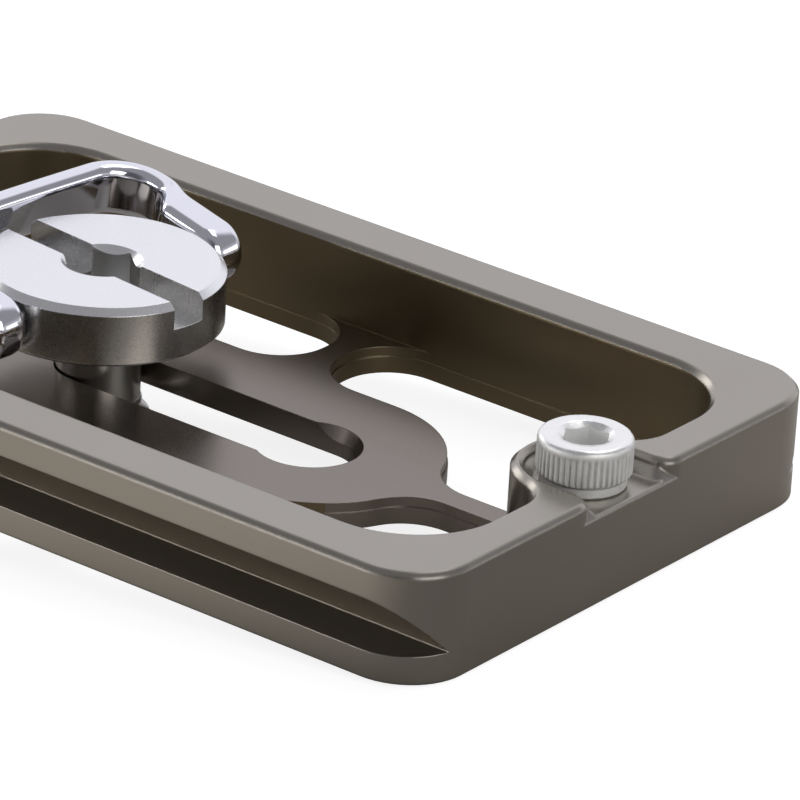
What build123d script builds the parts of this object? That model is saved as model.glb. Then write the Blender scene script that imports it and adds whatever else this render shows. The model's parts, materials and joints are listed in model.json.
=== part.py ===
from build123d import *
from math import cos, radians, sin, tan
import os

# Quick release plate with a 38 mm dovetail, shown with its clamp side up.
# The origin is the middle of the camera face, +Z points away from the camera, +X runs along the
# dovetail. All sizes are in millimetres.

os.makedirs("parts", exist_ok=True)

# Plate outline
plate_length = 60.0
plate_width = 38.0
plate_height = 6.8
corner_radius = 4.1
edge_chamfer = 0.3
camera_edge_chamfer = 0.2

# Dovetail grooves along both long sides
flange_height = 1.75
groove_depth = 2.9
groove_floor_rise = 0.12
land_thickness = 1.95

# Milled pocket, open towards the clamp
side_rim = 3.8
end_rim = 2.8
pocket_corner_radius = 5.7
pocket_chamfer = 0.35
deck_height = 1.66

# Web left in the pocket floor: a tongue on four thin arms
cross_arm_length = 7.45
cross_arm_width = 1.6
end_arm_length = 7.2
end_arm_width = 1.7
window_radius = 3.5
end_arm_radius = 0.8
finish_pass_height = 1.05
finish_pass_step = 0.08

# Camera screw slot, which ends in the tapped and countersunk hole that the screw is threaded in through
slot_width = 5.5
slot_end_wall = 3.9
entry_hole_inset = 0.35
entry_countersink = 0.45
entry_countersink_taper = 30.0
thread_radius = 3.175

# Safety stop screws, one in a boss at each end
boss_inset = 3.4
boss_radius = 4.15
boss_root_radius = 2.8
screw_seat_height = 5.7
counterbore_radius = 3.4
seat_chamfer = 0.6
notch_mouth_radius = 1.3
notch_sill_chamfer = 0.15
stop_thread_radius = 1.5
stop_hole_clearance = 0.05
stop_head_radius = 2.75
stop_collar_radius = 2.5
stop_collar_height = 0.7
stop_head_height = 3.0
stop_head_chamfer = 0.4
stop_shank_length = 5.0
stop_hex_width = 2.5
stop_hex_depth = 1.5
knurl_count = 30
knurl_size = 0.26

# Camera screw, turned in one piece, which lies a little turned in its slot
screw_turn = -6.0
neck_radius = 2.55
neck_length = 4.85
shoulder_height = 0.6
screw_reach = 2.8
tip_chamfer = 0.5
retaining_gap = 0.1
head_radius = 7.35
head_thickness = 3.6
head_chamfer = 0.42
head_bottom_chamfer = 0.15
neck_root_chamfer = 0.3
coin_slot_width = 2.3
coin_slot_depth = 1.65
hex_width = 5.0
hex_depth = 2.6
hex_countersink = 0.3

# D-ring on the screw head
ring_tilt = 10.0
ring_eye_radius = 1.95
ring_side_gap = 0.2
ring_eye_width = 2.5
ring_leg_outer = 10.6
ring_leg_thickness = 1.9
ring_bar_outer = 9.5
ring_bar_thickness = 1.5
ring_bar_height = 3.4
ring_joggle_start = 3.0
ring_joggle_end = 5.3
ring_joggle_radius = 2.0
ring_corner_radius = 3.0
ring_edge_chamfer = 0.4
ring_pin_radius = 0.9
ring_pin_length = 1.6
running_clearance = 0.05

# Rubber strips let into the camera face
strip_length = 44.0
strip_width = 2.2
strip_groove_depth = 0.7
strip_stand_off = 0.2
strip_edge_gap = 1.0

# Places that follow from the sizes above
land_height = plate_height - land_thickness
pocket_length = plate_length - 2 * end_rim
pocket_width = plate_width - 2 * side_rim
boss_x = plate_length / 2 - boss_inset
tongue_radius = pocket_width / 2 - cross_arm_length
tongue_end_x = boss_x - boss_radius - end_arm_length
tongue_end_middle = tongue_end_x - tongue_radius
entry_hole_x = tongue_end_middle - entry_hole_inset
slot_left_x = slot_end_wall + slot_width / 2 - tongue_end_x
screw_x = slot_left_x - slot_width / 2 + neck_radius + running_clearance
head_bottom = neck_length - retaining_gap
head_top = head_bottom + head_thickness
pivot_z = head_bottom + head_thickness / 2
end_arm_middle = tongue_end_x + end_arm_length / 2
cross_corner_radius = min(window_radius, 0.9 * (tongue_end_middle - cross_arm_width / 2))
strip_y = plate_width / 2 - strip_edge_gap - strip_width / 2
both_ends = ((-boss_x, 0), (boss_x, 0))
screw_axis = Axis((screw_x, 0, 0), (0, 0, 1))


# Plate body: one block of aluminium, milled from both sides
with BuildPart() as plate_body:
    with BuildSketch():
        RectangleRounded(plate_length, plate_width, corner_radius)
    extrude(amount=plate_height)
    chamfer(plate_body.faces().sort_by(Axis.Z)[0].edges(), camera_edge_chamfer)

    # Dovetail grooves, run straight through from end to end
    with BuildSketch(Plane.YZ.offset(-plate_length / 2)):
        with BuildLine():
            Polyline(
                (plate_width / 2, flange_height),
                (plate_width / 2 - groove_depth, flange_height + groove_floor_rise),
                (plate_width / 2, land_height),
                close=True,
            )
        make_face()
        mirror(about=Plane.YZ)
    extrude(amount=plate_length, mode=Mode.SUBTRACT)

    # Pocket, which leaves a boss at each end for the stop screws
    with BuildSketch(Plane.XY.offset(deck_height)) as pocket:
        RectangleRounded(pocket_length, pocket_width, pocket_corner_radius)
        with Locations(*both_ends):
            Circle(boss_radius, mode=Mode.SUBTRACT)
        boss_roots = pocket.vertices().filter_by(lambda v: 1 < abs(v.Y) < boss_radius)
        fillet(boss_roots, boss_root_radius)
    extrude(amount=plate_height - deck_height, mode=Mode.SUBTRACT)
    chamfer(plate_body.faces().sort_by(Axis.Z)[-1].inner_wires().edges(), pocket_chamfer)

    # Four windows through the pocket floor, milled from both sides to a fine step
    with BuildSketch(Plane.XY.offset(finish_pass_height)) as windows:
        RectangleRounded(pocket_length, pocket_width, pocket_corner_radius)
        SlotCenterToCenter(2 * tongue_end_middle, 2 * tongue_radius, mode=Mode.SUBTRACT)
        Rectangle(cross_arm_width, pocket_width, mode=Mode.SUBTRACT)
        Rectangle(pocket_length, end_arm_width, mode=Mode.SUBTRACT)
        with Locations(*both_ends):
            Circle(boss_radius, mode=Mode.SUBTRACT)
        fillet(windows.vertices().filter_by(lambda v: abs(v.X) < cross_arm_width), cross_corner_radius)
        beside_end_arms = windows.vertices().filter_by(lambda v: abs(v.Y) < end_arm_width)
        fillet(beside_end_arms.filter_by(lambda v: abs(v.X) < end_arm_middle), window_radius)
        beside_end_arms = windows.vertices().filter_by(lambda v: abs(v.Y) < end_arm_width)
        fillet(beside_end_arms.filter_by(lambda v: abs(v.X) > end_arm_middle), end_arm_radius)
        boss_roots = windows.vertices().filter_by(lambda v: abs(v.X) > boss_x and abs(v.Y) < 2 * boss_radius)
        fillet(boss_roots, boss_root_radius)
    extrude(amount=deck_height - finish_pass_height, mode=Mode.SUBTRACT)
    with BuildSketch():
        add(windows.sketch.moved(Location((0, 0, -finish_pass_height))))
        offset(amount=-finish_pass_step, mode=Mode.REPLACE)
    extrude(amount=finish_pass_height, mode=Mode.SUBTRACT)

    # Slot for the screw's neck, ending in the entry hole and its countersink
    with BuildSketch():
        with Locations(((slot_left_x + entry_hole_x) / 2, 0)):
            SlotCenterToCenter(entry_hole_x - slot_left_x, slot_width)
    extrude(amount=deck_height, mode=Mode.SUBTRACT)
    with BuildSketch(Plane.XY.offset(deck_height)):
        with Locations((entry_hole_x, 0)):
            Circle(slot_width / 2 + entry_countersink)
    countersink_depth = entry_countersink / tan(radians(entry_countersink_taper))
    extrude(amount=-countersink_depth, taper=entry_countersink_taper, mode=Mode.SUBTRACT)

    # Counterbore for each stop screw's head, open to the end face through a flared notch
    with BuildSketch(Plane.XY.offset(screw_seat_height)) as seats:
        with Locations((boss_x, 0)):
            Circle(counterbore_radius)
        with BuildLine():
            mouth_x = plate_length / 2
            flare_x = mouth_x - notch_mouth_radius
            flare_y = counterbore_radius + notch_mouth_radius
            Line((boss_x, -counterbore_radius), (flare_x, -counterbore_radius))
            RadiusArc((flare_x, -counterbore_radius), (mouth_x, -flare_y), notch_mouth_radius)
            Polyline((mouth_x, -flare_y), (mouth_x + 1, -flare_y), (mouth_x + 1, flare_y), (mouth_x, flare_y))
            RadiusArc((mouth_x, flare_y), (flare_x, counterbore_radius), notch_mouth_radius)
            Polyline((flare_x, counterbore_radius), (boss_x, counterbore_radius), (boss_x, -counterbore_radius))
        make_face()
        mirror(about=Plane.YZ)
    extrude(amount=plate_height - screw_seat_height, mode=Mode.SUBTRACT)
    chamfer(plate_body.faces().sort_by(Axis.Z)[-1].outer_wire().edges(), edge_chamfer)
    notch_sills = plate_body.edges().filter_by(Axis.Y).filter_by_position(Axis.Z, screw_seat_height, screw_seat_height)
    notch_sills = notch_sills.filter_by(lambda e: abs(e.center().X) > plate_length / 2 - 0.01)
    chamfer(notch_sills, notch_sill_chamfer)
    seat_edges = plate_body.edges().filter_by_position(Axis.Z, screw_seat_height, screw_seat_height)
    seat_edges = seat_edges.filter_by(lambda e: abs(e.center().X) < plate_length / 2 - notch_sill_chamfer - 0.01)
    chamfer(seat_edges, seat_chamfer)

    # Tapped holes for the stop screws
    with BuildSketch():
        with Locations(*both_ends):
            Circle(stop_thread_radius + stop_hole_clearance)
    extrude(amount=screw_seat_height, mode=Mode.SUBTRACT)

    # Grooves for the rubber strips
    with BuildSketch():
        with Locations((0, -strip_y), (0, strip_y)):
            SlotOverall(strip_length, strip_width)
    extrude(amount=strip_groove_depth, mode=Mode.SUBTRACT)
plate_body.part.label = "plate_body"
export_step(plate_body.part, "parts/plate_body.step")


# Camera screw: slotted disc head, plain neck and a short 1/4 inch thread below the plate
screw_plane = Plane(origin=(screw_x, 0, 0), x_dir=(1, 0, 0), z_dir=(0, -1, 0))
with BuildPart() as camera_screw:
    with BuildSketch(screw_plane):
        with BuildLine():
            Polyline(
                (0, -screw_reach),
                (thread_radius - tip_chamfer, -screw_reach),
                (thread_radius, -screw_reach + tip_chamfer),
                (thread_radius, -retaining_gap - shoulder_height),
                (neck_radius, -retaining_gap),
                (neck_radius, head_bottom),
                (head_radius - head_bottom_chamfer, head_bottom),
                (head_radius, head_bottom + head_bottom_chamfer),
                (head_radius, head_top - head_chamfer),
                (head_radius - head_chamfer, head_top),
                (0, head_top),
                close=True,
            )
        make_face()
    revolve(axis=screw_axis)
    neck_root = camera_screw.edges().filter_by(GeomType.CIRCLE)
    neck_root = neck_root.filter_by(lambda e: abs(e.radius - neck_radius) < 0.01).sort_by(Axis.Z)[-1]
    chamfer(neck_root, neck_root_chamfer)

    # Coin slot and hex socket
    with BuildSketch(Plane.XY.offset(head_top)):
        with Locations((screw_x, 0)):
            Rectangle(3 * head_radius, coin_slot_width)
    extrude(amount=-coin_slot_depth, mode=Mode.SUBTRACT)
    with BuildSketch(Plane.XY.offset(head_top)):
        with Locations((screw_x, 0)):
            RegularPolygon(hex_width / 2, 6, major_radius=False)
    extrude(amount=-hex_depth, mode=Mode.SUBTRACT)
    hex_corner_radius = hex_width / 2 / cos(radians(30))
    with BuildSketch(screw_plane):
        with BuildLine():
            Polyline(
                (0, head_top - hex_countersink),
                (hex_corner_radius, head_top - hex_countersink),
                (hex_corner_radius + hex_countersink, head_top),
                (0, head_top),
                close=True,
            )
        make_face()
    revolve(axis=screw_axis, mode=Mode.SUBTRACT)

    # Blind holes in the rim of the head for the ring's pins
    for side in (-1, 1):
        with BuildSketch(Plane(origin=(screw_x, side * head_radius, pivot_z), z_dir=(0, side, 0))):
            Circle(ring_pin_radius + running_clearance)
        extrude(amount=-ring_pin_length, mode=Mode.SUBTRACT)
turned_screw = camera_screw.part.rotate(screw_axis, screw_turn)
turned_screw.label = "camera_screw"
export_step(turned_screw, "parts/camera_screw.step")


# D-ring: a polished band with round eyes, joggled legs and a slightly bowed bar
ring_out = (-cos(radians(ring_tilt)), 0, sin(radians(ring_tilt)))
ring_up = (sin(radians(ring_tilt)), 0, cos(radians(ring_tilt)))
ring_plane = Plane(origin=(screw_x, 0, pivot_z), x_dir=ring_out, z_dir=ring_up)
ring_side_plane = Plane(origin=(screw_x, 0, pivot_z), x_dir=ring_out, z_dir=(0, 1, 0))
eye_inner = head_radius + ring_side_gap
eye_outer = eye_inner + ring_eye_width
leg_inner = ring_leg_outer - ring_leg_thickness
bar_inner = ring_bar_outer - ring_bar_thickness


def is_across_band(edge):
    return abs((edge @ 1 - edge @ 0).normalized().dot(Vector(*ring_up))) > 0.9


with BuildPart() as d_ring:
    with BuildSketch(ring_plane) as band:
        with BuildLine():
            Polyline(
                (bar_inner, 0),
                (ring_bar_outer, 0),
                (ring_bar_outer, ring_leg_outer),
                (ring_joggle_end, ring_leg_outer),
                (ring_joggle_start, eye_outer),
                (-ring_eye_radius, eye_outer),
                (-ring_eye_radius, eye_inner),
                (ring_joggle_start, eye_inner),
                (ring_joggle_end, leg_inner),
                (bar_inner, leg_inner),
                close=True,
            )
        make_face()
        fillet(band.vertices().filter_by(lambda v: 0 < v.X < bar_inner and v.Y > 0), ring_joggle_radius)
        fillet(band.vertices().sort_by(lambda v: v.X + v.Y)[-1], ring_corner_radius)
        inner_corner = band.vertices().sort_by(lambda v: abs(v.X - bar_inner) + abs(v.Y - leg_inner))[0]
        fillet(inner_corner, ring_corner_radius - ring_bar_thickness)
        mirror(about=Plane.XZ)
    extrude(amount=ring_eye_radius, both=True)
    with BuildSketch(ring_side_plane):
        Circle(ring_eye_radius)
        with Locations((bar_inner, 0)):
            Rectangle(2 * ring_bar_thickness, ring_bar_height)
        make_hull()
    extrude(amount=2 * ring_leg_outer, both=True, mode=Mode.INTERSECT)
    chamfer(d_ring.edges().filter_by(lambda e: not is_across_band(e)), ring_edge_chamfer)
    for side in (-1, 1):
        with BuildSketch(Plane(origin=(screw_x, side * eye_inner, pivot_z), z_dir=(0, side, 0))):
            Circle(ring_pin_radius)
        extrude(amount=-ring_pin_length, mode=Mode.ADD)
turned_ring = d_ring.part.rotate(screw_axis, screw_turn)
turned_ring.label = "d_ring"
export_step(turned_ring, "parts/d_ring.step")


# Stop screws: knurled socket head cap screws, seated in the counterbores
for name, x in (("stop_screw_left", -boss_x), ("stop_screw_right", boss_x)):
    stop_top = screw_seat_height + stop_head_height
    with BuildPart() as stop_screw:
        with BuildSketch(Plane.XY.offset(screw_seat_height + stop_collar_height)):
            with Locations((x, 0)):
                Circle(stop_head_radius)
                with PolarLocations(stop_head_radius, knurl_count):
                    Rectangle(knurl_size, knurl_size, rotation=45, mode=Mode.SUBTRACT)
        extrude(amount=stop_head_height - stop_collar_height)
        stop_plane = Plane(origin=(x, 0, 0), x_dir=(1, 0, 0), z_dir=(0, -1, 0))
        with BuildSketch(stop_plane):
            with BuildLine():
                Polyline(
                    (0, screw_seat_height),
                    (stop_head_radius, screw_seat_height),
                    (stop_head_radius, stop_top - stop_head_chamfer),
                    (stop_head_radius - stop_head_chamfer, stop_top),
                    (0, stop_top),
                    close=True,
                )
            make_face()
        revolve(axis=Axis((x, 0, 0), (0, 0, 1)), mode=Mode.INTERSECT)
        with BuildSketch(Plane.XY.offset(screw_seat_height)):
            with Locations((x, 0)):
                Circle(stop_collar_radius)
        extrude(amount=stop_collar_height)
        with BuildSketch(Plane.XY.offset(screw_seat_height)):
            with Locations((x, 0)):
                Circle(stop_thread_radius)
        extrude(amount=-stop_shank_length)
        with BuildSketch(Plane.XY.offset(stop_top)):
            with Locations((x, 0)):
                RegularPolygon(stop_hex_width / 2, 6, major_radius=False)
        extrude(amount=-stop_hex_depth, mode=Mode.SUBTRACT)
    stop_screw.part.label = name
    export_step(stop_screw.part, f"parts/{name}.step")


# Rubber strips, standing a little proud of the camera face
for name, side in (("rubber_strip_front", -1), ("rubber_strip_back", 1)):
    with BuildPart() as rubber_strip:
        with BuildSketch(Plane.XY.offset(-strip_stand_off)):
            with Locations((0, side * strip_y)):
                SlotOverall(strip_length, strip_width)
        extrude(amount=strip_groove_depth + strip_stand_off)
    rubber_strip.part.label = name
    export_step(rubber_strip.part, f"parts/{name}.step")
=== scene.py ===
import json
import math

import bmesh
import bpy
from mathutils import Matrix, Quaternion, Vector


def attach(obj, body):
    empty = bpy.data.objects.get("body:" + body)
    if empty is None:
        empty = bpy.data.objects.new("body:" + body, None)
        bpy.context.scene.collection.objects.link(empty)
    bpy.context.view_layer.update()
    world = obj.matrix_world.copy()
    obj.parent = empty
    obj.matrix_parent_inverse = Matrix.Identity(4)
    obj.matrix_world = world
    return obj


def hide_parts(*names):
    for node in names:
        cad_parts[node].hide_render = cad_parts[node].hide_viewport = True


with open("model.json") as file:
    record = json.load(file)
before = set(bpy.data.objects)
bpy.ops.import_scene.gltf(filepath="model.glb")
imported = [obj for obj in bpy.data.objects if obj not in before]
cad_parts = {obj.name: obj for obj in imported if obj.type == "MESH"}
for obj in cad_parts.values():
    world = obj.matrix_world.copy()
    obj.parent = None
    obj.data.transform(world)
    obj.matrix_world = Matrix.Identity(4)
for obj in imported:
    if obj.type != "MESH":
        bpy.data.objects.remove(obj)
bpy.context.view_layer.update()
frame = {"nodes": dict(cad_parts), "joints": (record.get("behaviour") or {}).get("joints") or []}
mm = 0.001
print("frame loaded:", sorted(frame["nodes"]))


# small helpers, shared by the materials and the pieces

def linearColor(hexCode):
    parts = [int(hexCode[i:i + 2], 16) / 255 for i in (1, 3, 5)]
    return [p / 12.92 if p <= 0.04045 else ((p + 0.055) / 1.055) ** 2.4 for p in parts] + [1.0]


def addNode(tree, kind, inputs=None, **settings):
    node = tree.nodes.new(kind)
    for name, value in settings.items():
        setattr(node, name, value)
    for socket, value in (inputs or {}).items():
        if isinstance(value, bpy.types.NodeSocket):
            tree.links.new(value, node.inputs[socket])
        else:
            node.inputs[socket].default_value = value
    return node


def newMaterial(name):
    material = bpy.data.materials.new(name)
    material.use_nodes = True
    material.node_tree.nodes.clear()
    return material, material.node_tree


def meshPiece(name, bm, material, body, replaced=()):
    # the mesh is drawn in millimetres, in the row frame
    bm.transform(Matrix.Scale(mm, 4))
    bmesh.ops.recalc_face_normals(bm, faces=bm.faces)
    mesh = bpy.data.meshes.new(name)
    bm.to_mesh(mesh)
    bm.free()
    if "custom_normal" in mesh.attributes:
        mesh.attributes.remove(mesh.attributes["custom_normal"])
    mesh.materials.append(material)
    piece = bpy.data.objects.new(name, mesh)
    bpy.context.scene.collection.objects.link(piece)
    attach(piece, body)
    if replaced:
        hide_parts(*replaced)
    return piece


def shadeByAngle(piece, degrees):
    piece.data.shade_smooth()
    piece.data.set_sharp_from_angle(angle=math.radians(degrees))


def cadCopy(nodeName):
    # the node's loose triangles, merged, in millimetres
    node = frame["nodes"][nodeName]
    bm = bmesh.new()
    bm.from_mesh(node.data)
    bm.transform(Matrix.Scale(1 / mm, 4) @ node.matrix_world)
    bmesh.ops.remove_doubles(bm, verts=bm.verts, dist=0.001)
    return bm


def cadSpan(nodeName):
    bm = cadCopy(nodeName)
    low = Vector([min(v.co[i] for v in bm.verts) for i in range(3)])
    high = Vector([max(v.co[i] for v in bm.verts) for i in range(3)])
    bm.free()
    return low, high


def polyline(bm, points):
    vert = bmesh.ops.create_vert(bm, co=points[0])["vert"][0]
    geom = [vert]
    for point in points[1:]:
        made = bmesh.ops.extrude_vert_indiv(bm, verts=[vert])
        vert = made["verts"][0]
        vert.co = point
        geom += [made["edges"][0], vert]
    return geom


def trimBetween(bm, low, high):
    for height, outwards in ((low, -1), (high, 1)):
        bmesh.ops.bisect_plane(bm, geom=bm.verts[:] + bm.edges[:] + bm.faces[:], plane_co=(0, 0, height),
                               plane_no=(0, 0, outwards), clear_outer=True)
    bmesh.ops.holes_fill(bm, edges=[e for e in bm.edges if e.is_boundary])


def placeRing(edges, centre, radius, height):
    for v in {v for e in edges for v in e.verts}:
        angle = math.atan2(v.co.y - centre[1], v.co.x - centre[0])
        r = radius(angle) if callable(radius) else radius
        z = height(angle) if callable(height) else height
        v.co = (centre[0] + r * math.cos(angle), centre[1] + r * math.sin(angle), z)


def turnedStack(bm, centre, rings, segments):
    # each ring is (radius, height), and either can be a function of the angle
    made = bmesh.ops.create_circle(bm, segments=segments, radius=1.0)
    bmesh.ops.translate(bm, verts=made["verts"], vec=(centre[0], centre[1], 0))
    edges = list({e for v in made["verts"] for e in v.link_edges})
    ends = [edges]
    placeRing(edges, centre, *rings[0])
    for radius, height in rings[1:]:
        made = bmesh.ops.extrude_edge_only(bm, edges=edges)["geom"]
        edges = [g for g in made if isinstance(g, bmesh.types.BMEdge) and all(v in made for v in g.verts)]
        placeRing(edges, centre, radius, height)
    ends.append(edges)
    for end in ends:
        bmesh.ops.contextual_create(bm, geom=end)


# materials

def hardAnodised():
    # titanium grey anodised aluminium: a dull metal with a warm film; painted shade darkens the web inside the pocket,
    # and painted shade makes the pocket walls a darker brown, where they are also rougher
    look = dict(film="#A19C94", filmPatch="#9B968D", webShade="#857D76", webTop=1.72, webFade=0.3, pocketX=27.3,
                pocketY=15.3, wallShade="#80735C", wallRoughness=0.36, bossY=5.6, ledgeY=14.9, roughness=0.25, patch=9.0, grain=0.22,
                millLine=0.5, edgeRound=0.08, rimEdgeRound=0.26, rimFrom=4.5, rimTo=5.5)
    material, tree = newMaterial("HardAnodisedAluminium")
    place = addNode(tree, "ShaderNodeTexCoord")
    cloud = addNode(tree, "ShaderNodeTexNoise", {"Vector": place.outputs["Object"], "Scale": 1 / (look["patch"] * mm),
                                                 "Detail": 3.0})
    grain = addNode(tree, "ShaderNodeTexNoise", {"Vector": place.outputs["Object"], "Scale": 1 / (look["grain"] * mm),
                                                 "Detail": 2.0})
    stretched = addNode(tree, "ShaderNodeMapping", {"Vector": place.outputs["Object"], "Scale": (0.02, 1.0, 1.0)})
    lines = addNode(tree, "ShaderNodeTexNoise", {"Vector": stretched.outputs["Vector"],
                                                 "Scale": 1 / (look["millLine"] * mm), "Detail": 2.0})
    tint = addNode(tree, "ShaderNodeMix", {"Factor": cloud.outputs["Fac"], "A": linearColor(look["filmPatch"]),
                                           "B": linearColor(look["film"])}, data_type="RGBA")
    height = addNode(tree, "ShaderNodeSeparateXYZ", {"Vector": place.outputs["Object"]})
    low = addNode(tree, "ShaderNodeMapRange", {"Value": height.outputs["Z"], "From Min": look["webTop"] * mm,
                                               "From Max": (look["webTop"] + look["webFade"]) * mm,
                                               "To Min": 1.0, "To Max": 0.0})
    across = addNode(tree, "ShaderNodeVectorMath", {0: place.outputs["Object"]}, operation="ABSOLUTE")
    within = addNode(tree, "ShaderNodeSeparateXYZ", {"Vector": across.outputs["Vector"]})
    inX = addNode(tree, "ShaderNodeMath", {0: within.outputs["X"], 1: look["pocketX"] * mm}, operation="LESS_THAN")
    inY = addNode(tree, "ShaderNodeMath", {0: within.outputs["Y"], 1: look["pocketY"] * mm}, operation="LESS_THAN")
    inPocket = addNode(tree, "ShaderNodeMath", {0: inX.outputs["Value"], 1: inY.outputs["Value"]},
                       operation="MULTIPLY")
    onWeb = addNode(tree, "ShaderNodeMath", {0: inPocket.outputs["Value"], 1: low.outputs["Result"]},
                    operation="MULTIPLY")
    # painted shade: inside the pocket, below the walls, the film is mixed to a darker colour
    paintedWebShade = addNode(tree, "ShaderNodeMix", {"Factor": onWeb.outputs["Value"], "A": tint.outputs["Result"],
                                              "B": linearColor(look["webShade"])}, data_type="RGBA")
    surface = addNode(tree, "ShaderNodeNewGeometry")
    facing = addNode(tree, "ShaderNodeSeparateXYZ", {"Vector": surface.outputs["True Normal"]})
    steep = addNode(tree, "ShaderNodeMath", {0: facing.outputs["Z"], 1: 0.0, 2: 0.5}, operation="COMPARE")
    aside = addNode(tree, "ShaderNodeMath", {0: within.outputs["Y"], 1: look["bossY"] * mm}, operation="GREATER_THAN")
    ledge = addNode(tree, "ShaderNodeMath", {0: within.outputs["Y"], 1: look["ledgeY"] * mm}, operation="GREATER_THAN")
    deep = addNode(tree, "ShaderNodeMath", {0: height.outputs["Z"], 1: 3 * mm}, operation="LESS_THAN")
    onLedge = addNode(tree, "ShaderNodeMath", {0: ledge.outputs["Value"], 1: deep.outputs["Value"]},
                      operation="MULTIPLY")
    sides = addNode(tree, "ShaderNodeMath", {0: steep.outputs["Value"], 1: onLedge.outputs["Value"]},
                    operation="MAXIMUM")
    upright = addNode(tree, "ShaderNodeMath", {0: sides.outputs["Value"], 1: aside.outputs["Value"]},
                      operation="MULTIPLY")
    onWall = addNode(tree, "ShaderNodeMath", {0: upright.outputs["Value"], 1: inPocket.outputs["Value"]},
                     operation="MULTIPLY")
    # painted shade: the pocket walls, and the ledge at their foot, take a darker brown in place of their dim
    # reflections; their roughness is raised as well
    paintedWallShade = addNode(tree, "ShaderNodeMix", {"Factor": onWall.outputs["Value"], "A": paintedWebShade.outputs["Result"],
                                               "B": linearColor(look["wallShade"])}, data_type="RGBA")
    mixed = addNode(tree, "ShaderNodeMath", {0: grain.outputs["Fac"], 1: lines.outputs["Fac"]}, operation="ADD")
    sheen = addNode(tree, "ShaderNodeMapRange", {"Value": mixed.outputs["Value"], "From Min": 0.6, "From Max": 1.4,
                                                 "To Min": look["roughness"] - 0.02,
                                                 "To Max": look["roughness"] + 0.02})
    dull = addNode(tree, "ShaderNodeMix", {"Factor": onWall.outputs["Value"], "A": sheen.outputs["Result"],
                                           "B": look["wallRoughness"]}, data_type="FLOAT")
    rounding = addNode(tree, "ShaderNodeMapRange", {"Value": height.outputs["Z"], "From Min": look["rimFrom"] * mm,
                                                    "From Max": look["rimTo"] * mm,
                                                    "To Min": look["edgeRound"] * mm,
                                                    "To Max": look["rimEdgeRound"] * mm})
    edge = addNode(tree, "ShaderNodeBevel", {"Radius": rounding.outputs["Result"]}, samples=6)
    bump = addNode(tree, "ShaderNodeBump", {"Strength": 0.02, "Distance": 0.02 * mm, "Height": mixed.outputs["Value"],
                                            "Normal": edge.outputs["Normal"]})
    shader = addNode(tree, "ShaderNodeBsdfPrincipled", {"Base Color": paintedWallShade.outputs["Result"], "Metallic": 1.0,
                                                        "Roughness": dull.outputs["Result"],
                                                        "Normal": bump.outputs["Normal"]})
    addNode(tree, "ShaderNodeOutputMaterial", {"Surface": shader.outputs["BSDF"]})
    return material


def turnedSteel(axisX):
    # stainless steel, faced on a lathe and tumbled: a pale satin with faint rings on the flats, and painted shade
    # making the upright sides a darker grey
    look = dict(bright="#EEEEF0", dull="#EAEAEC", side="#C4C3C0", roughness=0.26, ring=0.25, grain=0.16,
                edgeRound=0.07)
    material, tree = newMaterial("TurnedStainlessSteel")
    place = addNode(tree, "ShaderNodeTexCoord")
    centred = addNode(tree, "ShaderNodeMapping", {"Vector": place.outputs["Object"], "Location": (-axisX, 0, 0)})
    flat = addNode(tree, "ShaderNodeVectorMath", {0: centred.outputs["Vector"], 1: (1, 1, 0)}, operation="MULTIPLY")
    radius = addNode(tree, "ShaderNodeVectorMath", {0: flat.outputs["Vector"]}, operation="LENGTH")
    rings = addNode(tree, "ShaderNodeTexNoise", {"W": radius.outputs["Value"], "Scale": 1 / (look["ring"] * mm),
                                                 "Detail": 2.0}, noise_dimensions="1D")
    grain = addNode(tree, "ShaderNodeTexNoise", {"Vector": place.outputs["Object"], "Scale": 1 / (look["grain"] * mm),
                                                 "Detail": 2.0})
    mixed = addNode(tree, "ShaderNodeMath", {0: grain.outputs["Fac"], 1: rings.outputs["Fac"]}, operation="ADD")
    tint = addNode(tree, "ShaderNodeMix", {"Factor": grain.outputs["Fac"], "A": linearColor(look["dull"]),
                                           "B": linearColor(look["bright"])}, data_type="RGBA")
    surface = addNode(tree, "ShaderNodeNewGeometry")
    facing = addNode(tree, "ShaderNodeSeparateXYZ", {"Vector": surface.outputs["True Normal"]})
    upright = addNode(tree, "ShaderNodeMath", {0: facing.outputs["Z"], 1: 0.0, 2: 0.4}, operation="COMPARE")
    # painted shade: faces that stand upright take a darker grey than the flats
    paintedSideShade = addNode(tree, "ShaderNodeMix", {"Factor": upright.outputs["Value"], "A": tint.outputs["Result"],
                                               "B": linearColor(look["side"])}, data_type="RGBA")
    sheen = addNode(tree, "ShaderNodeMapRange", {"Value": mixed.outputs["Value"], "From Min": 0.6, "From Max": 1.4,
                                                 "To Min": look["roughness"] - 0.015,
                                                 "To Max": look["roughness"] + 0.02})
    edge = addNode(tree, "ShaderNodeBevel", {"Radius": look["edgeRound"] * mm}, samples=6)
    bump = addNode(tree, "ShaderNodeBump", {"Strength": 0.02, "Distance": 0.02 * mm, "Height": mixed.outputs["Value"],
                                            "Normal": edge.outputs["Normal"]})
    shader = addNode(tree, "ShaderNodeBsdfPrincipled", {"Base Color": paintedSideShade.outputs["Result"], "Metallic": 1.0,
                                                        "Roughness": sheen.outputs["Result"],
                                                        "Normal": bump.outputs["Normal"]})
    addNode(tree, "ShaderNodeOutputMaterial", {"Surface": shader.outputs["BSDF"]})
    return material


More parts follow.
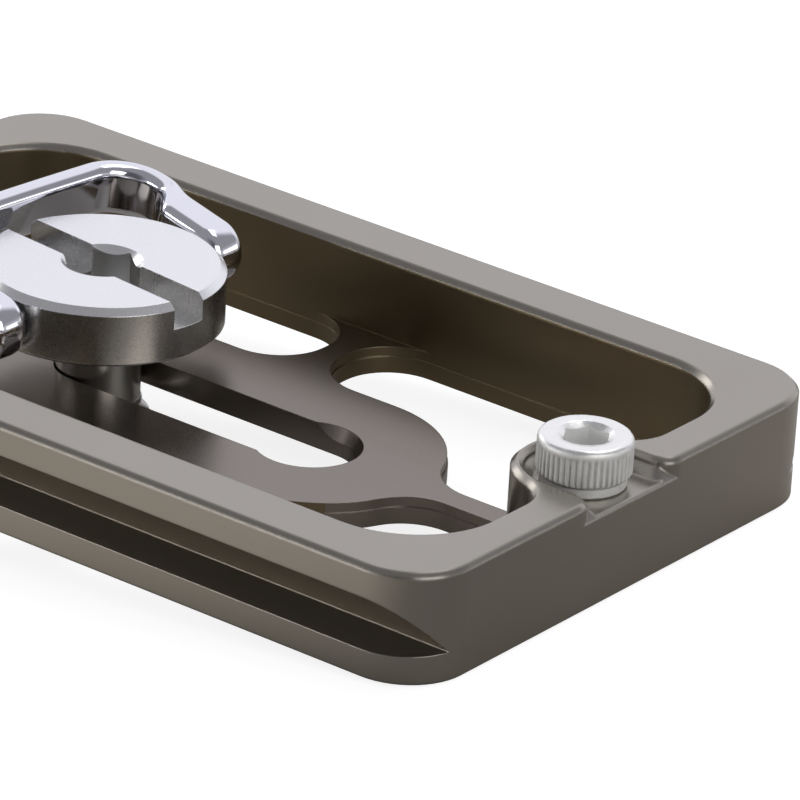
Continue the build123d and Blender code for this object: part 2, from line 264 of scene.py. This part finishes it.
def polishedChrome():
    # chrome plate over a polished band: a near mirror with a slight orange peel
    look = dict(plate="#E6E6EE", roughness=0.1, peel=1.6)
    material, tree = newMaterial("PolishedChrome")
    place = addNode(tree, "ShaderNodeTexCoord")
    peel = addNode(tree, "ShaderNodeTexNoise", {"Vector": place.outputs["Object"], "Scale": 1 / (look["peel"] * mm),
                                                "Detail": 1.0})
    bump = addNode(tree, "ShaderNodeBump", {"Strength": 0.06, "Distance": 0.05 * mm, "Height": peel.outputs["Fac"]})
    shader = addNode(tree, "ShaderNodeBsdfPrincipled", {"Base Color": linearColor(look["plate"]), "Metallic": 1.0,
                                                        "Roughness": look["roughness"],
                                                        "Normal": bump.outputs["Normal"]})
    addNode(tree, "ShaderNodeOutputMaterial", {"Surface": shader.outputs["BSDF"]})
    return material


def nickelPlate():
    # bright nickel plate on a cold headed screw: shiny, with small dents and a faint haze
    look = dict(bright="#F8F8F6", hazy="#ECECEA", roughness=0.28, sideRoughness=0.62, dent=0.5)
    material, tree = newMaterial("BrightNickelPlate")
    place = addNode(tree, "ShaderNodeTexCoord")
    dents = addNode(tree, "ShaderNodeTexNoise", {"Vector": place.outputs["Object"], "Scale": 1 / (look["dent"] * mm),
                                                 "Detail": 4.0})
    tint = addNode(tree, "ShaderNodeMix", {"Factor": dents.outputs["Fac"], "A": linearColor(look["hazy"]),
                                           "B": linearColor(look["bright"])}, data_type="RGBA")
    sheen = addNode(tree, "ShaderNodeMapRange", {"Value": dents.outputs["Fac"], "From Min": 0.3, "From Max": 0.7,
                                                 "To Min": look["roughness"] - 0.05,
                                                 "To Max": look["roughness"] + 0.08})
    surface = addNode(tree, "ShaderNodeNewGeometry")
    facing = addNode(tree, "ShaderNodeSeparateXYZ", {"Vector": surface.outputs["Normal"]})
    frosted = addNode(tree, "ShaderNodeMapRange", {"Value": facing.outputs["Z"], "From Min": 0.3, "From Max": 0.8,
                                                   "To Min": look["sideRoughness"] - look["roughness"],
                                                   "To Max": 0.0})
    haze = addNode(tree, "ShaderNodeMath", {0: sheen.outputs["Result"], 1: frosted.outputs["Result"]},
                   operation="ADD")
    bump = addNode(tree, "ShaderNodeBump", {"Strength": 0.6, "Distance": 0.03 * mm, "Height": dents.outputs["Fac"]})
    shader = addNode(tree, "ShaderNodeBsdfPrincipled", {"Base Color": tint.outputs["Result"], "Metallic": 1.0,
                                                        "Roughness": haze.outputs["Value"],
                                                        "Normal": bump.outputs["Normal"]})
    addNode(tree, "ShaderNodeOutputMaterial", {"Surface": shader.outputs["BSDF"]})
    return material


def mouldedRubber():
    # moulded nitrile rubber, matt black with a dusty sheen
    look = dict(rubber="#1E1D1C", roughness=0.75, grain=0.3)
    material, tree = newMaterial("MouldedRubber")
    place = addNode(tree, "ShaderNodeTexCoord")
    grain = addNode(tree, "ShaderNodeTexNoise", {"Vector": place.outputs["Object"], "Scale": 1 / (look["grain"] * mm),
                                                 "Detail": 3.0})
    bump = addNode(tree, "ShaderNodeBump", {"Strength": 0.4, "Distance": 0.03 * mm, "Height": grain.outputs["Fac"]})
    shader = addNode(tree, "ShaderNodeBsdfPrincipled", {"Base Color": linearColor(look["rubber"]),
                                                        "Roughness": look["roughness"],
                                                        "Normal": bump.outputs["Normal"]})
    addNode(tree, "ShaderNodeOutputMaterial", {"Surface": shader.outputs["BSDF"]})
    return material


hinge = next(j for j in frame["joints"] if j["name"] == "ring_hinge")
pivot = Vector(hinge["pos_m"]) / mm
screwTurn = Matrix.Rotation(math.atan2(-hinge["axis"][0], hinge["axis"][1]), 4, "Z")
anodised, steel, chrome, nickel, rubber = (hardAnodised(), turnedSteel(pivot.x * mm), polishedChrome(), nickelPlate(),
                                           mouldedRubber())
finishes = {"plate_body": anodised, "camera_screw": steel, "d_ring": chrome, "stop_screw_left": nickel,
            "stop_screw_right": nickel, "rubber_strip_front": rubber, "rubber_strip_back": rubber}
for name, node in frame["nodes"].items():
    node.data.materials.clear()
    node.data.materials.append(finishes[name])
print("materials made")


# the D-ring: a polished band, bent to a D, with rounded edges

ringBand = dict(barOuter=9.6, barThickness=1.5, barHeight=3.4, bow=0.1, cornerRadius=3.8, legOuter=10.95,
                joggleEnd=5.5, joggleStart=2.8, eyeInner=7.55, eyeWidth=2.55, eyeRadius=1.95, edgeRadius=0.72,
                crown=((0.72, 0.24), (0.6, 0.1)), tilt=10.0, pinRadius=0.9, pinLength=1.6)


def nextLoop(bm, edges, step):
    made = bmesh.ops.extrude_edge_only(bm, edges=edges)["geom"]
    verts = [g for g in made if isinstance(g, bmesh.types.BMVert)]
    bmesh.ops.translate(bm, verts=verts, vec=step)
    return [g for g in made if isinstance(g, bmesh.types.BMEdge) and all(v in verts for v in g.verts)], verts


def makeRing():
    r = ringBand
    bm = bmesh.new()
    section = bmesh.ops.create_grid(bm, x_segments=1, y_segments=1, size=0.5,
                                    matrix=Matrix.Rotation(math.radians(90), 4, "X"))["verts"]
    bmesh.ops.scale(bm, verts=section, vec=(r["barThickness"], 1, r["barHeight"]))
    bmesh.ops.translate(bm, verts=section, vec=(r["barOuter"] - r["barThickness"] / 2 + r["bow"], 0, 0))
    bmesh.ops.delete(bm, geom=bm.faces[:], context="FACES_ONLY")
    edges = bm.edges[:]
    for i in range(8):
        fall = r["bow"] * (math.cos(math.pi * (i + 1) / 16) - math.cos(math.pi * i / 16))
        edges, _ = nextLoop(bm, edges, (fall, (r["legOuter"] - r["cornerRadius"]) / 8, 0))
    bend = bmesh.ops.spin(bm, geom=edges, cent=(r["barOuter"] - r["cornerRadius"], r["legOuter"] - r["cornerRadius"], 0),
                          axis=(0, 0, 1), angle=math.radians(90), steps=14, use_duplicate=False)["geom_last"]
    edges = [g for g in bend if isinstance(g, bmesh.types.BMEdge)]
    startX = r["barOuter"] - r["cornerRadius"]
    edges, verts = nextLoop(bm, edges, (r["joggleEnd"] - startX, 0, 0))

    # joggle inwards to the thicker eye, easing in and out
    steps = 14
    outerShift = r["eyeInner"] + r["eyeWidth"] - r["legOuter"]
    innerShift = r["eyeInner"] - (r["legOuter"] - r["barThickness"])
    ease = [0.5 - 0.5 * math.cos(math.pi * i / steps) for i in range(steps + 1)]
    for i in range(steps):
        share = ease[i + 1] - ease[i]
        edges, verts = nextLoop(bm, edges, ((r["joggleStart"] - r["joggleEnd"]) / steps, 0, 0))
        ordered = sorted(verts, key=lambda v: v.co.y)
        bmesh.ops.translate(bm, verts=ordered[:2], vec=(0, innerShift * share, 0))
        bmesh.ops.translate(bm, verts=ordered[2:], vec=(0, outerShift * share, 0))
        height = r["barHeight"] / 2 + (r["eyeRadius"] - r["barHeight"] / 2) * ease[i + 1]
        for v in verts:
            v.co.z = math.copysign(height, v.co.z)
    edges, verts = nextLoop(bm, edges, (-r["joggleStart"] - r["eyeRadius"], 0, 0))
    bmesh.ops.contextual_create(bm, geom=edges)

    # round the eye about the pin, then every long edge
    endEdges = [e for e in bm.edges if all(abs(v.co.x + r["eyeRadius"]) < 0.01 for v in e.verts)
                and abs(e.verts[0].co.z - e.verts[1].co.z) < 0.01]
    bmesh.ops.bevel(bm, geom=endEdges, offset=r["eyeRadius"] - 0.02, affect="EDGES", segments=14, profile=0.5,
                    material=-1)
    longEdges = [e for e in bm.edges if len(e.link_faces) == 2 and e.calc_face_angle() > math.radians(60)]
    bmesh.ops.bevel(bm, geom=longEdges, offset=r["edgeRadius"], affect="EDGES", segments=5, profile=0.5, material=-1)
    crown = [f for f in bm.faces if f.normal.y > 0.99 and f.calc_center_median().x < r["joggleStart"]]
    for shrink, rise in r["crown"]:
        made = bmesh.ops.extrude_face_region(bm, geom=crown)["geom"]
        crown = [g for g in made if isinstance(g, bmesh.types.BMFace)]
        verts = [g for g in made if isinstance(g, bmesh.types.BMVert)]
        middle = (min(v.co.x for v in verts) + max(v.co.x for v in verts)) / 2
        bmesh.ops.scale(bm, verts=verts, vec=(shrink, 1, shrink), space=Matrix.Translation((-middle, 0, 0)))
        bmesh.ops.translate(bm, verts=verts, vec=(0, rise, 0))
    bmesh.ops.mirror(bm, geom=bm.verts[:] + bm.edges[:] + bm.faces[:], axis="Y", merge_dist=0.001)
    for side in (-1, 1):
        middle = side * (r["eyeInner"] - r["pinLength"] / 2 + 0.2)
        place = Matrix.Translation((0, middle, 0)) @ Matrix.Rotation(math.radians(90), 4, "X")
        bmesh.ops.create_cone(bm, cap_ends=True, segments=40, radius1=r["pinRadius"], radius2=r["pinRadius"],
                              depth=r["pinLength"] + 0.4, matrix=place)
    c, s = math.cos(math.radians(r["tilt"])), math.sin(math.radians(r["tilt"]))
    lift = Matrix(((-c, 0, s), (0, -1, 0), (s, 0, c))).to_4x4()
    bm.transform(Matrix.Translation(pivot) @ screwTurn @ lift)
    piece = meshPiece("polishedRing", bm, chrome, "ring", ["d_ring"])
    shadeByAngle(piece, 40)
    weighted = piece.modifiers.new("evenSheen", "WEIGHTED_NORMAL")
    weighted.keep_sharp = True


makeRing()
print("ring made")


# the camera screw: a turned head and neck with slot, socket and pin holes, and a real quarter inch thread

screwHead = dict(radius=7.35, bottom=4.75, top=8.35, topCut=0.42, bottomCut=0.15, rootCut=0.3, slotWidth=2.3,
                 slotDepth=1.65, hexWidth=4.0, hexDepth=2.6, hexSink=0.14, pinHole=0.95, pinDepth=1.6)
screwThread = dict(pitch=1.27, crest=3.175, root=2.62, neck=2.55, shoulder=-0.1, fullDepth=-0.7, tip=-2.8, tipCut=0.5,
                   steps=48, turns=5)


def cutWith(bm, cutter):
    drafts = []
    for name, source in (("solidDraft", bm), ("cutterDraft", cutter)):
        bmesh.ops.recalc_face_normals(source, faces=source.faces)
        mesh = bpy.data.meshes.new(name)
        source.to_mesh(mesh)
        source.free()
        drafts.append(bpy.data.objects.new(name, mesh))
        bpy.context.scene.collection.objects.link(drafts[-1])
    solid, tool = drafts
    cut = solid.modifiers.new("cut", "BOOLEAN")
    cut.operation, cut.solver, cut.object = "DIFFERENCE", "EXACT", tool
    done = bpy.data.meshes.new_from_object(solid.evaluated_get(bpy.context.evaluated_depsgraph_get()))
    bm = bmesh.new()
    bm.from_mesh(done)
    for mesh in [draft.data for draft in drafts] + [done]:
        bpy.data.meshes.remove(mesh)
    return bm


def turnedHead():
    # turned about the z axis with its slot along x, then set on the screw's axis
    h, t = screwHead, screwThread
    bm = bmesh.new()
    profile = polyline(bm, [(0, 0, t["shoulder"]), (t["neck"], 0, t["shoulder"]),
                            (t["neck"], 0, h["bottom"] - h["rootCut"]), (t["neck"] + h["rootCut"], 0, h["bottom"]),
                            (h["radius"] - h["bottomCut"], 0, h["bottom"]), (h["radius"], 0, h["bottom"] + h["bottomCut"]),
                            (h["radius"], 0, h["top"] - h["topCut"]), (h["radius"] - h["topCut"], 0, h["top"]),
                            (0, 0, h["top"])])
    bmesh.ops.spin(bm, geom=profile, cent=(0, 0, 0), axis=(0, 0, 1), angle=math.tau, steps=120, use_merge=True,
                   use_duplicate=False)
    bmesh.ops.remove_doubles(bm, verts=bm.verts, dist=0.0005)
    corner = h["hexWidth"] / 2 / math.cos(math.radians(30))
    slot = bmesh.new()
    bmesh.ops.create_cube(slot, size=1.0, matrix=Matrix.Translation((0, 0, h["top"]))
                          @ Matrix.Diagonal((3 * h["radius"], h["slotWidth"], 2 * h["slotDepth"], 1)))
    socket = bmesh.new()
    bmesh.ops.create_cone(socket, cap_ends=True, segments=6, radius1=corner, radius2=corner, depth=2 * h["hexDepth"],
                          matrix=Matrix.Translation((0, 0, h["top"])))
    sink = bmesh.new()
    bmesh.ops.create_cone(sink, cap_ends=True, segments=60, radius1=corner - 0.3, radius2=corner + h["hexSink"] + 0.3,
                          depth=h["hexSink"] + 0.6, matrix=Matrix.Translation((0, 0, h["top"] - h["hexSink"] / 2)))
    holes = bmesh.new()
    for side in (-1, 1):
        place = Matrix.Translation((0, side * h["radius"], (h["top"] + h["bottom"]) / 2))
        bmesh.ops.create_cone(holes, cap_ends=True, segments=40, radius1=h["pinHole"], radius2=h["pinHole"],
                              depth=2 * h["pinDepth"], matrix=place @ Matrix.Rotation(math.radians(90), 4, "X"))
    for cutter in (slot, socket, sink, holes):
        bm = cutWith(bm, cutter)
    bm.transform(Matrix.Translation((pivot.x, 0, 0)) @ screwTurn)
    return bm


def makeCameraScrew():
    t = screwThread
    bm = bmesh.new()
    start = t["tip"] - 1.5 * t["pitch"]
    ridge = [(t["root"], 0.0), (t["root"], 0.14), (t["crest"], 0.44), (t["crest"], 0.56), (t["root"], 0.86),
             (t["root"], 1.0)]
    profile = polyline(bm, [(pivot.x + radius, 0, start + share * t["pitch"]) for radius, share in ridge])
    bmesh.ops.spin(bm, geom=profile, cent=(pivot.x, 0, 0), axis=(0, 0, 1), angle=math.tau * t["turns"],
                   steps=t["steps"] * t["turns"], dvec=(0, 0, t["pitch"] / t["steps"]), use_duplicate=False)
    bmesh.ops.remove_doubles(bm, verts=bm.verts, dist=0.005)
    trimBetween(bm, t["tip"], t["shoulder"] + 0.02)
    slope = (t["crest"] - t["neck"]) / (t["shoulder"] - t["fullDepth"])
    for v in bm.verts:
        out = Vector((v.co.x - pivot.x, v.co.y, 0))
        limit = min(t["crest"] - t["tipCut"] + v.co.z - t["tip"], t["neck"] + max(0.0, t["shoulder"] - v.co.z) * slope)
        if out.length > limit:
            v.co -= out * (1 - limit / out.length)
    thread = bpy.data.meshes.new("threadDraft")
    bm.to_mesh(thread)
    bm.free()
    bm = turnedHead()
    bm.from_mesh(thread)
    bpy.data.meshes.remove(thread)
    piece = meshPiece("turnedScrew", bm, steel, "screw", ["camera_screw"])
    shadeByAngle(piece, 32)


makeCameraScrew()
print("camera screw made")


# the stop screws: knurled socket heads on a plain collar

stopScrew = dict(headHeight=3.0, headRadius=2.75, edge=0.42, collarRadius=2.5, collarHeight=0.68, neckRadius=2.32,
                 grooves=48, grooveDepth=0.17, hexWidth=2.5, hexDepth=1.5, sinkRadius=1.62, shankRadius=1.5)


def knurled(angle):
    share = (angle * stopScrew["grooves"] / math.tau) % 1.0
    return stopScrew["headRadius"] - stopScrew["grooveDepth"] * max(0.0, 1 - 4 * abs(share - 0.5))


def hexagon(angle):
    return stopScrew["hexWidth"] / 2 / math.cos(angle % math.radians(60) - math.radians(30))


def makeStopScrew(nodeName, label):
    s = stopScrew
    low, high = cadSpan(nodeName)
    centre, top = ((low.x + high.x) / 2, (low.y + high.y) / 2), high.z
    seat = top - s["headHeight"]
    collar = seat + s["collarHeight"]
    rings = [(s["shankRadius"] - 0.3, low.z), (s["shankRadius"], low.z + 0.3), (s["shankRadius"], seat),
             (s["collarRadius"] - 0.1, seat), (s["collarRadius"], seat + 0.1), (s["collarRadius"], collar - 0.1),
             (s["neckRadius"], collar - 0.04), (s["neckRadius"], collar + 0.02),
             (lambda a: knurled(a) - 0.14, collar + 0.05), (knurled, collar + 0.19), (knurled, top - s["edge"] - 0.3),
             (s["headRadius"] - 0.02, top - s["edge"] - 0.14)]
    for i in range(5):
        turn = math.radians(22.5 * i)
        rings.append((s["headRadius"] - s["edge"] * (1 - math.cos(turn)), top - s["edge"] * (1 - math.sin(turn))))
    rings += [(s["sinkRadius"] + 0.06, top), (s["sinkRadius"], top - 0.04),
              (hexagon, lambda a: top - 0.04 - 0.75 * (s["sinkRadius"] - hexagon(a))), (hexagon, top - s["hexDepth"]),
              (0.25, top - s["hexDepth"] - 0.5)]
    bm = bmesh.new()
    turnedStack(bm, centre, rings, 6 * s["grooves"])
    piece = meshPiece(label, bm, nickel, "plate", [nodeName])
    shadeByAngle(piece, 35)


makeStopScrew("stop_screw_left", "knurledScrewLeft")
makeStopScrew("stop_screw_right", "knurledScrewRight")
print("stop screws made")


# the rubber strips: flat strips with fine ribs across

rubberStrip = dict(ribPitch=1.0, ribWidth=0.5, ribHeight=0.1, ribLength=1.7, endGap=1.5)


def makeRubberStrip(nodeName, label):
    s = rubberStrip
    low, high = cadSpan(nodeName)
    middle, size = (low + high) / 2, high - low
    base = low.z + s["ribHeight"]
    bm = bmesh.new()
    bmesh.ops.create_grid(bm, x_segments=1, y_segments=1, size=0.5)
    bmesh.ops.scale(bm, verts=bm.verts, vec=(size.x, size.y, 1))
    bmesh.ops.bevel(bm, geom=bm.verts[:], offset=size.y * 0.49, affect="VERTICES", segments=10, profile=0.5,
                    material=-1)
    bmesh.ops.translate(bm, verts=bm.verts, vec=(middle.x, middle.y, base))
    raised = bmesh.ops.extrude_face_region(bm, geom=bm.faces[:], use_keep_orig=True)["geom"]
    bmesh.ops.translate(bm, verts=[g for g in raised if isinstance(g, bmesh.types.BMVert)],
                        vec=(0, 0, high.z - base))
    count = int((size.x - 2 * s["endGap"]) / s["ribPitch"])
    for i in range(count + 1):
        x = middle.x + (i - count / 2) * s["ribPitch"]
        place = Matrix.Translation((x, middle.y, base)) @ Matrix.Diagonal((s["ribWidth"], s["ribLength"],
                                                                           2 * s["ribHeight"], 1))
        bmesh.ops.create_cube(bm, size=1.0, matrix=place)
    meshPiece(label, bm, rubber, "plate", [nodeName])


makeRubberStrip("rubber_strip_front", "ribbedStripFront")
makeRubberStrip("rubber_strip_back", "ribbedStripBack")
print("rubber strips made")


# camera

view = dict(azimuth=36.57, elevation=24.27, roll=3.43, distance=412.87, target=(11.54, 2.67, 5.0), focal=7180 / 800 * 36)


def placeCamera():
    az, el = math.radians(view["azimuth"]), math.radians(view["elevation"])
    back = Vector((math.sin(az) * math.cos(el), -math.cos(az) * math.cos(el), math.sin(el)))
    camera = bpy.data.objects.new("photoCamera", bpy.data.cameras.new("photoCamera"))
    bpy.context.scene.collection.objects.link(camera)
    camera.location = (Vector(view["target"]) + back * view["distance"]) * mm
    camera.rotation_mode = "QUATERNION"
    camera.rotation_quaternion = back.to_track_quat("Z", "Y") @ Quaternion((0, 0, 1), math.radians(view["roll"]))
    camera.data.lens = view["focal"]
    camera.data.sensor_width = 36
    camera.data.clip_start = 0.01
    bpy.context.scene.camera = camera


placeCamera()


# studio: a pale floor that the screw's tip and the plate's right end stand on, and soft lights

studio = dict(tipX=-6.1, tipZ=-2.8, endX=29.8, floorSize=4.0, seen=0.85, seenPaint="#A0A0A0", paint="#CFCBC3",
              dim="#A09D98", dimToward=(0.95, -0.3, 0), dimFrom=19.0, dimTo=44.0,
              glow="#FFF8EC", glowStrength=0.24, glowToward=(-0.4, -0.92, 0), glowFrom=8.0, glowTo=30.0)


def makeFloor():
    # seen by the camera it is white with the object's soft shadow; in the metal it is a warm grey, with painted shade
    # dimming it past the right end and a painted glow brightening it towards the front left
    s = studio
    slope = math.atan2(-s["tipZ"], s["endX"] - s["tipX"])
    bm = bmesh.new()
    bmesh.ops.create_grid(bm, x_segments=1, y_segments=1, size=s["floorSize"] / 2)
    bmesh.ops.rotate(bm, verts=bm.verts, matrix=Matrix.Rotation(-slope, 3, "Y"))
    bmesh.ops.translate(bm, verts=bm.verts, vec=(s["endX"] * mm, 0, 0))
    mesh = bpy.data.meshes.new("paleFloor")
    bm.to_mesh(mesh)
    bm.free()
    floor = bpy.data.objects.new("paleFloor", mesh)
    bpy.context.scene.collection.objects.link(floor)
    material, tree = newMaterial("PaleSweep")
    path = addNode(tree, "ShaderNodeLightPath")
    place = addNode(tree, "ShaderNodeTexCoord")
    # painted shade: in the metal's view the floor's paint turns darker past the plate's right end
    corner = addNode(tree, "ShaderNodeVectorMath", {0: place.outputs["Object"], 1: s["dimToward"]},
                     operation="DOT_PRODUCT")
    near = addNode(tree, "ShaderNodeMapRange", {"Value": corner.outputs["Value"], "From Min": s["dimFrom"] * mm,
                                                "From Max": s["dimTo"] * mm}, interpolation_type="SMOOTHSTEP")
    paintedFloorShade = addNode(tree, "ShaderNodeMix", {"Factor": near.outputs["Result"], "A": linearColor(s["paint"]),
                                            "B": linearColor(s["dim"])}, data_type="RGBA")
    colour = addNode(tree, "ShaderNodeMix", {"Factor": path.outputs["Is Camera Ray"], "A": paintedFloorShade.outputs["Result"],
                                             "B": linearColor(s["seenPaint"])}, data_type="RGBA")
    paint = addNode(tree, "ShaderNodeBsdfDiffuse", {"Color": colour.outputs["Result"]})
    # painted light: the floor glows towards the front left, in the metal's reflections only
    along = addNode(tree, "ShaderNodeVectorMath", {0: place.outputs["Object"], 1: s["glowToward"]},
                    operation="DOT_PRODUCT")
    share = addNode(tree, "ShaderNodeMapRange", {"Value": along.outputs["Value"], "From Min": s["glowFrom"] * mm,
                                                 "From Max": s["glowTo"] * mm, "To Max": s["glowStrength"]},
                    interpolation_type="SMOOTHSTEP")
    gloss = addNode(tree, "ShaderNodeMath", {0: path.outputs["Is Glossy Ray"], 1: share.outputs["Result"]},
                    operation="MULTIPLY")
    seen = addNode(tree, "ShaderNodeMath", {0: path.outputs["Is Camera Ray"], 1: s["seen"],
                                            2: gloss.outputs["Value"]}, operation="MULTIPLY_ADD")
    tone = addNode(tree, "ShaderNodeMix", {"Factor": path.outputs["Is Camera Ray"], "A": linearColor(s["glow"]),
                                           "B": (1, 1, 1, 1)}, data_type="RGBA")
    glow = addNode(tree, "ShaderNodeEmission", {"Color": tone.outputs["Result"], "Strength": seen.outputs["Value"]})
    both = addNode(tree, "ShaderNodeAddShader", {0: paint.outputs["BSDF"], 1: glow.outputs["Emission"]})
    addNode(tree, "ShaderNodeOutputMaterial", {"Surface": both.outputs["Shader"]})
    mesh.materials.append(material)


# the room as the metal sees it: a large bright window behind, a pale horizon, a dim ceiling, a dark camera side
room = dict(horizon="#C8C8CC", ceiling="#949498", horizonFrom=0.16, horizonTo=0.4, window="#F8F8FF",
            windowToward=(-0.42, 0.72, 0.5), windowFrom=0.6, windowTo=0.8, dark="#58585C",
            darkToward=(0.6, -0.8, 0.1), darkFrom=0.55, darkTo=0.9)


def makeWorld():
    world = bpy.data.worlds.new("softStudio")
    world.use_nodes = True
    tree = world.node_tree
    tree.nodes.clear()
    place = addNode(tree, "ShaderNodeTexCoord")
    height = addNode(tree, "ShaderNodeSeparateXYZ", {"Vector": place.outputs["Generated"]})
    rise = addNode(tree, "ShaderNodeMapRange", {"Value": height.outputs["Z"], "From Min": room["horizonFrom"],
                                                "From Max": room["horizonTo"]}, interpolation_type="SMOOTHSTEP")
    tint = addNode(tree, "ShaderNodeMix", {"Factor": rise.outputs["Result"], "A": linearColor(room["horizon"]),
                                           "B": linearColor(room["ceiling"])}, data_type="RGBA")
    for part in ("window", "dark"):
        toward = addNode(tree, "ShaderNodeVectorMath", {0: place.outputs["Generated"],
                                                        1: Vector(room[part + "Toward"]).normalized()},
                         operation="DOT_PRODUCT")
        share = addNode(tree, "ShaderNodeMapRange", {"Value": toward.outputs["Value"], "From Min": room[part + "From"],
                                                     "From Max": room[part + "To"]}, interpolation_type="SMOOTHSTEP")
        tint = addNode(tree, "ShaderNodeMix", {"Factor": share.outputs["Result"], "A": tint.outputs["Result"],
                                               "B": linearColor(room[part])}, data_type="RGBA")
    path = addNode(tree, "ShaderNodeLightPath")
    seen = addNode(tree, "ShaderNodeMix", {"Factor": path.outputs["Is Camera Ray"], "A": tint.outputs["Result"],
                                           "B": (1, 1, 1, 1)}, data_type="RGBA")
    sky = addNode(tree, "ShaderNodeBackground", {"Color": seen.outputs["Result"]})
    addNode(tree, "ShaderNodeOutputWorld", {"Surface": sky.outputs["Background"]})
    bpy.context.scene.world = world


# radiance is power / (pi x width x height)
softBoxes = {
    "frontLeftBox": dict(toward=(-0.55, -0.82, 0.2), distance=0.6, width=0.3, height=0.13, glow=5.0),
    "rightBox": dict(toward=(0.75, 0.6, 0.12), distance=0.6, width=0.3, height=0.12, glow=1.4),
    "sideBox": dict(toward=(0.85, -0.3, 0.4), distance=0.6, width=0.4, height=0.3, glow=2.6),
    "leftBox": dict(toward=(-0.92, 0.06, 0.34), distance=0.6, width=0.26, height=0.18, glow=2.2),
    "topBox": dict(toward=(0.12, 0.32, 0.94), distance=0.6, width=0.28, height=0.28, glow=1.5),
}


def makeLights():
    for name, box in softBoxes.items():
        light = bpy.data.lights.new(name, "AREA")
        light.shape = "RECTANGLE"
        light.size = box["width"]
        light.size_y = box["height"]
        light.energy = box["glow"] * math.pi * box["width"] * box["height"]
        lamp = bpy.data.objects.new(name, light)
        bpy.context.scene.collection.objects.link(lamp)
        direction = Vector(box["toward"]).normalized()
        lamp.location = direction * box["distance"]
        lamp.rotation_mode = "QUATERNION"
        lamp.rotation_quaternion = direction.to_track_quat("Z", "Y")


makeFloor()
makeWorld()
makeLights()
bpy.context.scene.view_settings.view_transform = "Standard"
print("studio made")
